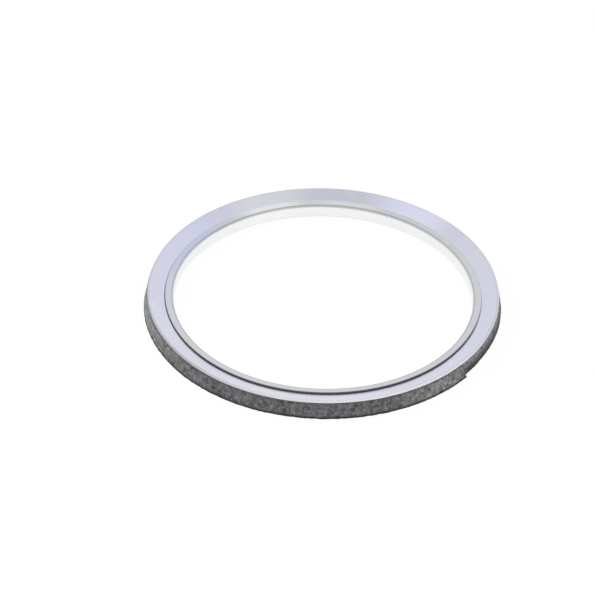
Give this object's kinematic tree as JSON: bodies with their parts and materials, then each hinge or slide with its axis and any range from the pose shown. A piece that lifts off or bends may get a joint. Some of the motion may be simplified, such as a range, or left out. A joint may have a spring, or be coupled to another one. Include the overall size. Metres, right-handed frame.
{
  "type": "exhaust ring gasket",
  "caption": "Flat exhaust ring gasket: folded sheet-metal sleeve crimped over a dished cover washer, packed with a wound fibre strip.",
  "frame": {"origin": "centre of the ring, on the underside of the bottom flange", "axes": "+Z along the ring's axis, from the bottom flange to the cover washer; -Y towards the side that the picture shows in front"},
  "size_m": [0.0815, 0.0815, 0.0043],
  "materials": {
    "sleeve_steel": "satin",
    "cover_steel": "satin",
    "fibre": "matte"
  },
  "bodies": {
    "root": {"flanged_sleeve": "sleeve_steel", "cover_washer": "cover_steel", "fibre_winding": "fibre"}
  },
  "joints": []
}
